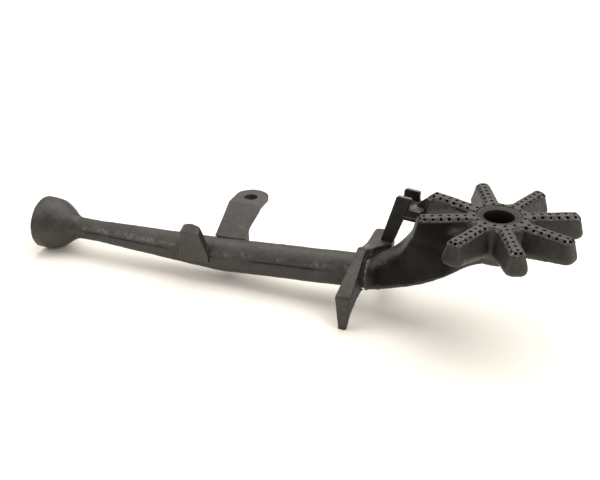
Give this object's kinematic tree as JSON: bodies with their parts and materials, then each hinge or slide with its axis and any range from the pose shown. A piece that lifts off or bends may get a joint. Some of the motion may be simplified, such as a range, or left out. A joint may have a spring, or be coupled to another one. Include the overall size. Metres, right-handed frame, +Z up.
{
  "type": "star gas burner assembly",
  "caption": "Cast-iron star burner with drilled radial arms, a central air hole, a bell-mouthed mixing tube, a leg bracket, a pilot bracket and a bolt-down tab.",
  "frame": {"origin": "middle of the bounding box, on the surface that the feet and the bell mouth stand on", "axes": "+Z up out of the drilled face, the mixing tube along X with its mouth at -X, the bolt-down tab at +Y"},
  "size_m": [0.583, 0.1608, 0.123],
  "materials": {
    "drilled_top": "machined cast iron, darkened by heat",
    "head_casting": "sand-cast iron, matt and dark",
    "tube_casting": "sand-cast iron, matt brown-grey",
    "bracket_casting": "sand-cast iron, matt and dark",
    "tab_plate": "cast iron, light brown-grey",
    "sleeve_steel": "heat-darkened",
    "screws": "blackened steel"
  },
  "bodies": {
    "root": {"burner_top": "drilled_top", "burner_body": "head_casting", "centre_sleeve": "sleeve_steel", "mixing_tube": "tube_casting", "tube_set_screw": "screws", "leg_bracket": "bracket_casting", "pilot_post": "bracket_casting", "pilot_cradle": "bracket_casting", "mounting_tab": "tab_plate", "tab_screw_1": "screws", "tab_screw_2": "screws", "locating_lug": "tube_casting"}
  },
  "joints": []
}
